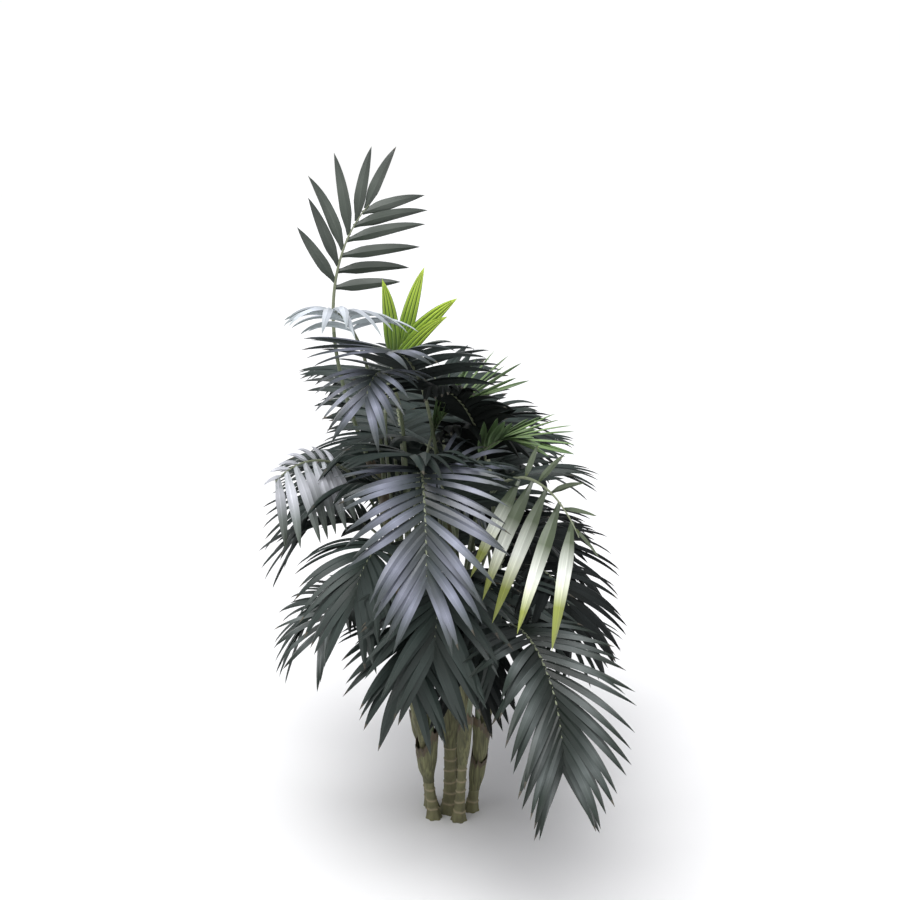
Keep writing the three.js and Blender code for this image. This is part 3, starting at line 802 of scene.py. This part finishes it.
def leaflet_rows(frond, rng):
    """Where each leaflet of a frond starts and points, in pairs from the foot of the blade to its tip.

    The spread from the rib closes with a power of the place, leaflets fold up a little from the blade's
    plane, and their lengths follow an arch of a half wave; each differs a little from the next.
    """
    spacing = LOOKS[frond["look"]]["spacing"]
    pairs = round(frond["blade"] / spacing)
    v = np.repeat((np.arange(pairs) + 0.5) / pairs, 2)
    hand = np.tile([-1.0, 1.0], pairs)
    place = frond["stalk"] + frond["blade"] * (v + PAIR_STAGGER * hand / pairs)
    share = place / frond["length"]
    along, across, above = rib_frame(frond, share)
    count = len(v)
    slant = frond["spread"] * np.tile(frond["slant"], pairs)
    usual = slant * mix(SPREAD_AT_FOOT, SPREAD_AT_TIP, v ** SPREAD_CURVE)
    spread = np.radians(usual + rng.normal(0, ANGLE_SPREAD, count))[:, None]
    fold = np.radians(LEAF_FOLD + rng.normal(0, ANGLE_SPREAD, count))[:, None]
    aside = across * hand[:, None] * np.cos(fold) + above * np.sin(fold)
    way = along * np.cos(spread) + np.sin(spread) * aside
    arch = np.sin(np.pi * mix(ARCH_FROM, ARCH_TO, v))
    reach = frond["leaf"] * np.tile(frond["hands"], pairs)
    length = LEAF_LENGTH * reach * mix(END_SHARE, 1, arch) * (1 - LENGTH_SPREAD * rng.random(count))
    return dict(
        root=points_on(frond["path"], share) - above * LEAF_SEAT,
        way=unit(way),
        above=above,
        length=length,
        droop=frond["droop"] * (1 + rng.normal(0, DROOP_SPREAD, count)),
        twist=np.radians(rng.normal(0, TWIST_SPREAD, count)),
        face=np.radians(frond["face"]) * hand,
        curl=rng.normal(0, CURL_SPREAD, count),
        seed=rng.random(count),
        shift=rng.integers(-1, 2, count) / LEAF_STEPS,
        stunted=np.tile(frond["hands"], pairs) < STUNTED_HAND,
    )


def leaflet_paths(leaves, part):
    """Midlines of leaflets at a part of their length.

    Each starts along its way and bends down with a power of the length, and a little aside.
    """
    t = (np.arange(LEAF_STEPS) + 0.5) / LEAF_STEPS
    side = np.cross(leaves["above"], leaves["way"])
    fall = leaves["droop"][:, None, None] * t[None, :, None] ** DROOP_CURVE
    sway = leaves["curl"][:, None, None] * t[None, :, None]
    steps = unit(leaves["way"][:, None] - fall * SKY + sway * side[:, None])
    steps = np.cumsum(steps, 1) * (leaves["length"] * part)[:, None, None] / LEAF_STEPS
    root = leaves["root"][:, None]
    return np.concatenate([root, root + steps], 1)


def fitted_leaflets(leaves, obstacles):
    """Leaflets at the longest of their lengths that keeps clear of other stalks and canes, if any does."""
    points, radii = obstacles
    best = np.zeros(len(leaves["length"]))
    for part in SHORTER:
        paths = leaflet_paths(leaves, part)[:, STEPS_AT_OWN_RIB:]
        gaps = np.linalg.norm(paths[:, :, None] - points, axis=-1) - radii
        clear = gaps.min((1, 2)) > STALK_ROOM
        best = np.where((best == 0) & clear, part, best)
    kept = best > 0
    fitted = {key: values[kept] for key, values in leaves.items()}
    fitted["length"] = fitted["length"] * best[kept]
    return fitted


def leaf_outline(t, root):
    """Share of a leaflet's width along its length: quick shoulders from its root, then a long taper."""
    shoulder = mix(root, 1, smooth_step(t / LEAF_SHOULDER))
    return shoulder * np.clip(1 - t ** LEAF_TAPER, 0, 1)


def pleat_profile(pleats):
    """Places across a leaflet, from its right edge to its left, heights, and which steps are creases.

    One pleat is a keel with rounded halves. More are a row of ridges on a low roof, with narrow creases
    between.
    """
    if pleats == 1:
        x = np.linspace(1, -1, KEEL_POINTS)
        return x, 1 - np.abs(x) ** HALF_ROUNDING, np.zeros(KEEL_POINTS - 1, bool)
    steps = (np.arange(pleats)[:, None] + PLEAT_STEPS[:-1]).ravel()
    x = 1 - 2 * np.append(steps, pleats) / pleats
    ridges = 0.5 - 0.5 * np.cos((x + 1) * np.pi * pleats)
    step = np.arange(len(PLEAT_STEPS) - 1)
    crease = np.tile((step == step[0]) | (step == step[-1]), pleats)
    return x, PLEAT_ROOF * (1 - np.abs(x)) + PLEAT_RIDGE * ridges, crease


def leaflet_shells(leaves, pleats, root, width):
    """Closed straps round the midlines: a keeled or pleated upper face and a lower one just below it.

    A section lies across the midline and above it, turned about the midline near the root by the leaflet's
    face and all the way by its twist, and its size follows the outline. The lower face has a point under
    each inner one of a pleated section, and one point under a keel. Returns the rings, their closing points,
    each point's place across and along, and which steps across are creases.
    """
    paths = leaflet_paths(leaves, 1.0)
    along = unit(np.gradient(paths, axis=1))[:, :-1]
    centre = paths[:, :-1]
    t = np.arange(LEAF_STEPS) / LEAF_STEPS
    across = unit(np.cross(leaves["above"][:, None], along))
    out = np.cross(along, across)
    faced = leaves["face"][:, None] * smooth_step(t / FACE_SHARE)
    twist = (faced + leaves["twist"][:, None] * t)[..., None]
    side = across * np.cos(twist) + out * np.sin(twist)
    up = out * np.cos(twist) - across * np.sin(twist)
    x, height, crease = pleat_profile(pleats)
    middle = len(x) // 2
    inner = slice(-2, 0, -1) if pleats > 1 else slice(middle, middle + 1)
    ring_x = np.concatenate([x, x[inner]])
    ring_y = np.concatenate([height * LEAF_KEEL, height[inner] * LEAF_KEEL - LEAF_THICKNESS])
    size = leaf_outline(t, root)[:, None]
    wide = LEAF_WIDTH * width * np.where(leaves["stunted"], STUNTED_WIDTH, 1.0)[:, None, None]
    half = wide / 2 * size * ring_x
    rise = np.sqrt(size) * ring_y
    rings = centre[:, :, None] + side[:, :, None] * half[..., None] + up[:, :, None] * rise[..., None]
    place_across = np.broadcast_to(ring_x, rings.shape[:3])
    place_along = np.broadcast_to(t[:, None], rings.shape[:3])
    return rings, paths[:, 0], paths[:, -1], place_across, place_along, crease


def leaf_slots(leaves, style, sides, crease, rng, special):
    """A material for every face of the leaflets: bands by length, creases, undersides and dry tips.

    The bands, which paint shade and sheen along each leaflet, end on the leaflets' own rows, so that each
    colour runs on into the next, and the creases get a painted shade. special holds the slots that aren't
    bands.
    """
    count = len(leaves["length"])
    rows = LEAF_STEPS - 1
    t = (np.arange(rows) + 0.5) / LEAF_STEPS
    inner = [place for place, _ in tint_stops(style)[1:-1]]
    band = np.digitize(t + leaves["shift"][:, None], inner)
    band = np.where(leaves["stunted"][:, None], 0, band)
    dry = rng.random(count) < style["dry"]
    band = np.where((t > DRY_TIP_FROM) & dry[:, None], special["dry"], band)
    tip = np.where(dry, special["dry"], np.where(leaves["stunted"], 0, len(inner)))
    quads = np.repeat(band[:, :, None], sides, 2)
    quads[:, :, len(crease):] = special["under"]
    quads[:, :, :len(crease)][:, :, crease] = special["pleat"]
    ends = np.stack([np.repeat(band[:, :1], sides, 1), np.repeat(tip[:, None], sides, 1)], 1)
    return quads.ravel(), ends.ravel()


def build_leaflets(frond, obstacles, finishes, rng):
    """The leaflets of one frond, joined, in the place of its blade."""
    style = LOOKS[frond["look"]]
    look = finishes[frond["look"]]
    leaves = fitted_leaflets(leaflet_rows(frond, rng), obstacles)
    width = style["width"] * math.sqrt(frond["leaf"])
    shells = leaflet_shells(leaves, style["pleats"], style["root"], width)
    rings, roots, tips, across, along, crease = shells
    sides = rings.shape[2]
    points, quads, triangles = capped_tubes(rings, roots, tips)
    # The bands paint shade and sheen along each leaflet, and the pleat slot a shade in the creases
    leaf_materials = [*look["bands"], look["under"], look["pleat"], look["dry"]]
    special = dict(under=len(leaf_materials) - 3, pleat=len(leaf_materials) - 2, dry=len(leaf_materials) - 1)
    slots = np.concatenate(leaf_slots(leaves, style, sides, crease, rng, special))
    piece = add_piece(
        f"leaflets_{frond['label']}", points, quads, triangles, leaf_materials, slots, LEAF_CREASE,
        leaf_across=with_ends(across, 0.0, 0.0),
        leaf_along=with_ends(along, 0.0, 1.0) + leaves["shift"][:, None],
        leaf_seed=np.repeat(leaves["seed"], sides * LEAF_STEPS + 2),
    )
    node = f"frond_{frond['label']}" + ("_blade" if frond["split"] else "")
    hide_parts(node)


def rib_rings(frond):
    """Rings of one rib and their places along it.

    Each is a flattened round with a shallow groove on the upper side, and the rib tapers along the stalk
    and again along the blade and swells towards the cane.
    """
    share = np.linspace(0, 1, RIB_STATIONS)
    s = share * frond["length"]
    stalk = mix(RIB_RADIUS["cane"], RIB_RADIUS["blade"], np.clip(s / frond["stalk"], 0, 1))
    past_stalk = np.clip((s - frond["stalk"]) / frond["blade"], 0, 1)
    blade = mix(0, RIB_RADIUS["tip"] - RIB_RADIUS["blade"], past_stalk)
    radius = (stalk + blade) * (1 + RIB_BASE_SWELL * np.exp(-s / RIB_SWELL_FADE))
    angle = round_angles(RIB_SIDES)
    x = np.cos(angle)
    groove = RIB_GROOVE * np.clip(np.sin(angle), 0, 1) * np.exp(-(x / RIB_GROOVE_WIDTH) ** 2)
    y = RIB_FLATNESS * np.sin(angle) - groove
    _, across, above = rib_frame(frond, share)
    centre = points_on(frond["path"], share)
    wide = across[:, None] * (radius[:, None] * x)[..., None]
    high = above[:, None] * (radius[:, None] * y)[..., None]
    return centre[:, None] + wide + high, s


def build_ribs(name, fronds, stalk_finish, blade_finish):
    """The ribs of one cane's fronds, joined: stalks in one finish and the blades' ribs in a paler one."""
    rings, length = (np.stack(rows) for rows in zip(*(rib_rings(frond) for frond in fronds)))
    stalks = np.array([frond["stalk"] for frond in fronds])
    points, quads, triangles = capped_tubes(rings, rings[:, 0].mean(1), rings[:, -1].mean(1))
    on_blade = (length[:, :-1] > PALE_RIB_FROM * stalks[:, None]).astype(int)
    quad_slots = np.repeat(on_blade[:, :, None], RIB_SIDES, 2).ravel()
    end_slots = np.tile(np.repeat([0, 1], RIB_SIDES), len(fronds))
    slots = np.concatenate([quad_slots, end_slots])
    round_rib = np.broadcast_to(np.cos(round_angles(RIB_SIDES)), rings.shape[:3])
    piece = add_piece(
        f"ribs_{name}", points, quads, triangles, [stalk_finish, blade_finish], slots, RIB_CREASE,
        rib_along=with_ends(np.repeat(length[:, :, None], RIB_SIDES, 2), 0.0, 0.0),
        rib_round=with_ends(round_rib, 0.0, 0.0),
    )
    nodes = [f"frond_{frond['label']}" + ("_stalk" if frond["split"] else "") for frond in fronds]
    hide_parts(*nodes)


def sheath_rings(frond, rank, rng):
    """Rows of one sheath, up the outside and down the inside.

    The wall climbs from a ring on the cane to a ragged lip, high on the stalk's side and dipping opposite
    it. Its radius is the cane's, plus a spread that grows with the climb and with the sheaths nested inside,
    with a low random ridge at every side, and it swells round the stalk with a power of the cosine.
    """
    cane = CANES[frond["cane"]]
    foot = frond["share"] * cane["height"]
    angle = round_angles(SHEATH_SIDES)
    facing = 0.5 + 0.5 * np.cos(angle)
    ragged = SHEATH_RAGGED * rng.normal(0, 1, SHEATH_SIDES)
    rise = SHEATH_LIP * facing ** SHEATH_LIP_POWER
    lip = foot + rise - SHEATH_DIP * (1 - facing) ** SHEATH_DIP_POWER + ragged
    climb = np.linspace(0, 1, SHEATH_ROWS)[:, None]
    start = foot - SHEATH_LENGTH
    z = start + (lip - start) * climb
    first = rib_frame(frond, 0.0)[0]
    tilt = math.tan(math.acos(min(1.0, float(first @ cane_way(cane)))))
    by_stalk = np.clip(np.cos(angle), 0, 1) ** SHEATH_SWELL_POWER * smooth_step(climb * SWELL_RISE)
    swell = by_stalk * (SHEATH_SWELL + tilt * np.clip(z - foot, 0, None))
    nested = smooth_step(climb * NEST_RISE) * SHEATH_NEST * rank
    spread = SHEATH_ROOM + nested + SHEATH_SPREAD * climb ** 2
    ridges = SHEATH_RIDGE * rng.uniform(-1, 1, SHEATH_SIDES) * smooth_step(climb * RIDGE_RISE)
    outer = cane_radius(cane, z) + spread + swell + ridges
    side = math.degrees(math.atan2(frond["away"][0], -frond["away"][1]))
    ways = heading(side + np.degrees(angle))
    axis = cane_axis(cane, z)
    outside = axis + ways * outer[..., None]
    inside = axis + ways * (outer - SHEATH_WALL)[..., None]
    return np.concatenate([outside, inside[::-1]])


def build_sheaths(name, fronds, rng, finishes):
    """The sheaths of one cane's fronds, joined, each nested in those below it, with a dry rim."""
    order = sorted(fronds, key=lambda frond: -frond["share"])
    rings = np.stack([sheath_rings(frond, rank, rng) for rank, frond in enumerate(order)])
    points, quads = closed_sleeves(rings)
    dry = np.zeros(rings.shape[1], int)
    dry[SHEATH_ROWS - 1 - DRY_RIM_ROWS:SHEATH_ROWS + DRY_RIM_ROWS] = 1
    slots = np.tile(np.repeat(dry, SHEATH_SIDES), len(fronds))
    no_triangles = np.zeros((0, 3), int)
    piece = add_piece(f"sheaths_{name}", points, quads, no_triangles, finishes, slots, CANE_CREASE)


def scar_heights(cane, rng):
    """Heights of a cane's ring scars, closer together near the foot."""
    heights = [FIRST_SCAR]
    while heights[-1] < cane["height"]:
        step = mix(*SCAR_SPACING, min(1.0, heights[-1] / cane["height"]))
        heights.append(heights[-1] + step * (1 + SCAR_SPACING_SPREAD * rng.random()))
    return np.array(heights[:-1])


def build_cane(name, cane, rng, finish):
    """A cane as level rings.

    Their radius is the tapering, flared one, with a ridge and a groove, each a bell curve of the height, at
    every wavering scar, less the lobes that fade above the foot.
    """
    scars = scar_heights(cane, rng)
    near_scars = (scars[:, None] + SCAR_STATIONS).ravel()
    ends = [0.0, FOOT_STATION, cane["height"]]
    stations = np.concatenate([near_scars, scars + BETWEEN_SCARS, ends])
    z = np.unique(np.clip(stations, 0, cane["height"]).round(STATION_DIGITS))[:, None]
    angle = round_angles(CANE_SIDES)
    phase = rng.random(len(scars)) * 2 * np.pi
    wobble = SCAR_WOBBLE * np.sin(angle[None, :, None] + phase)
    offset = z[..., None] - scars - wobble
    ridge = np.exp(-(offset / SCAR_WIDTH) ** 2)
    groove = np.exp(-((offset - GROOVE_ABOVE) / SCAR_WIDTH) ** 2)
    relief = (SCAR_RIDGE * ridge - SCAR_GROOVE * groove).sum(-1)
    wave = 0.5 + 0.5 * np.cos(FOOT_LOBES * angle + phase[0])
    lobes = FOOT_LOBE_DEPTH * np.exp(-z / FOOT_LOBE_FADE) * wave
    radius = cane_radius(cane, z) + relief * np.clip(z / FIRST_SCAR, 0, 1) - lobes
    ways = heading(cane["turn"] + np.degrees(angle))
    rings = (cane_axis(cane, z) + ways * radius[..., None])[None]
    closing = cane_axis(cane, np.array([0.0, cane["height"]]))
    points, quads, triangles = capped_tubes(rings, closing[:1], closing[1:])
    scar = with_ends(ridge.sum(-1)[None], 0.0, 0.0)
    slots = np.zeros(len(quads) + len(triangles), int)
    piece = add_piece(f"bark_{name}", points, quads, triangles, [finish], slots, CANE_CREASE, scar=scar)
    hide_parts(f"cane_{name}")


def obstacles_for(frond, fronds):
    """Points and radii of every other stalk and of the canes, which leaflets keep clear of."""
    places = np.linspace(0, 1, RIB_PROBES)
    ribs = [points_on(other["path"], places) for other in fronds if other is not frond]
    canes = [cane_axis(cane, np.linspace(0, cane["height"], CANE_PROBES)) for cane in CANES.values()]
    points = np.concatenate(ribs + canes)
    rib_count = sum(len(rib) for rib in ribs)
    radii = np.full(len(points), MAIN_CANE["body"])
    radii[:rib_count] = RIB_RADIUS["blade"]
    return points, radii


def build_plant():
    """All canes, sheaths, ribs and leaflets."""
    rng = np.random.default_rng(SEED)
    fronds = grown_fronds()
    bark = cane_finish("cane_bark")
    stalk = rib_finish("stalk_green", STALK)
    rib = rib_finish("rib_pale", RIB)
    sheath = [
        fibre_finish("sheath_green", SHEATH, shaded(SHEATH, SHEATH_TONE["fibre"])),
        fibre_finish("sheath_dry", SHEATH_DRY, DRY),
    ]
    finishes = leaf_finishes()
    for name, cane in CANES.items():
        own = [frond for frond in fronds if frond["cane"] == name]
        build_cane(name, cane, rng, bark)
        build_sheaths(name, own, rng, sheath)
        build_ribs(name, own, stalk, rib)
    for frond in fronds:
        build_leaflets(frond, obstacles_for(frond, fronds), finishes, rng)


# Studio: a white room, a pale floor and one soft light
IMAGE_SIDE = 900
FOCAL_PIXELS = 1382
SENSOR_MM = 36.0
CAMERA_DISTANCE = 3.6
CAMERA_LIFT = 12
AIM = Vector((0.0, 0.0, 1.017))
WALL_TINT = colour(1.02, 1.02, 1.02)
CEILING_TINT = colour(0.32, 0.32, 0.35)
WALL_TOP = 0.22
CEILING_FROM = 0.60
FLOOR_RADIUS = 60.0
FLOOR_SIDES = 96
FLOOR_TINT = colour(0.85, 0.85, 0.85)
FLOOR_SHADE = 0.99
FLOOR_GRAIN = 3.0
FLOOR_ROUGHNESS = 0.9
KEY_LIGHT = 3.3
KEY_SOFTNESS = 50
KEY_TURN = -24
KEY_LIFT = 64


def build_camera():
    """A long lens at the photograph's angle, aimed at the middle of the crown."""
    data = bpy.data.cameras.new("camera")
    data.sensor_width = SENSOR_MM
    data.lens = FOCAL_PIXELS / IMAGE_SIDE * SENSOR_MM
    camera = bpy.data.objects.new("camera", data)
    lift = math.radians(CAMERA_LIFT)
    back = Vector((0.0, -math.cos(lift), math.sin(lift)))
    camera.location = AIM + back * CAMERA_DISTANCE
    camera.rotation_euler = (math.radians(90 - CAMERA_LIFT), 0.0, 0.0)
    bpy.context.scene.collection.objects.link(camera)
    bpy.context.scene.camera = camera


def build_floor():
    """A wide pale disc."""
    angle = round_angles(FLOOR_SIDES)
    rim = FLOOR_RADIUS * np.stack([np.cos(angle), np.sin(angle), np.zeros(FLOOR_SIDES)], -1)
    mesh = bpy.data.meshes.new("floor")
    mesh.from_pydata(rim.tolist(), [], [list(range(FLOOR_SIDES))])
    finish = Finish("floor_pale")
    grain = finish.grain(FLOOR_GRAIN)
    mesh.materials.append(finish.surface(
        Base_Color=finish.blend(grain, shaded(FLOOR_TINT, FLOOR_SHADE), FLOOR_TINT),
        Roughness=FLOOR_ROUGHNESS,
        Specular_IOR_Level=0.0,
    ))
    floor = bpy.data.objects.new("floor", mesh)
    bpy.context.scene.collection.objects.link(floor)


def build_light():
    """One wide soft key light from the upper front."""
    data = bpy.data.lights.new("key", "SUN")
    data.energy = KEY_LIGHT
    data.angle = math.radians(KEY_SOFTNESS)
    light = bpy.data.objects.new("key", data)
    lift = math.radians(KEY_LIFT)
    towards = Vector(heading(KEY_TURN)) * math.cos(lift) + Vector(SKY) * math.sin(lift)
    light.rotation_euler = towards.to_track_quat("Z", "Y").to_euler()
    bpy.context.scene.collection.objects.link(light)


def build_room():
    """White walls that pass smoothly into a dimmer, cooler ceiling."""
    world = bpy.data.worlds.new("room")
    world.use_nodes = True
    nodes = Nodes(world.node_tree)
    background = next(n for n in world.node_tree.nodes if n.type == "BACKGROUND")
    way = nodes.node("ShaderNodeTexCoord", output="Generated")
    height = nodes.node("ShaderNodeSeparateXYZ", None, {0: way}, output="Z")
    stops = [(WALL_TOP, WALL_TINT), (CEILING_FROM, CEILING_TINT)]
    nodes.feed(background, {"Color": nodes.node("ShaderNodeValToRGB", dict(stops=stops), {"Fac": height})})
    bpy.context.scene.world = world
    bpy.context.scene.view_settings.view_transform = "Standard"


build_plant()
build_camera()
build_floor()
build_light()
build_room()
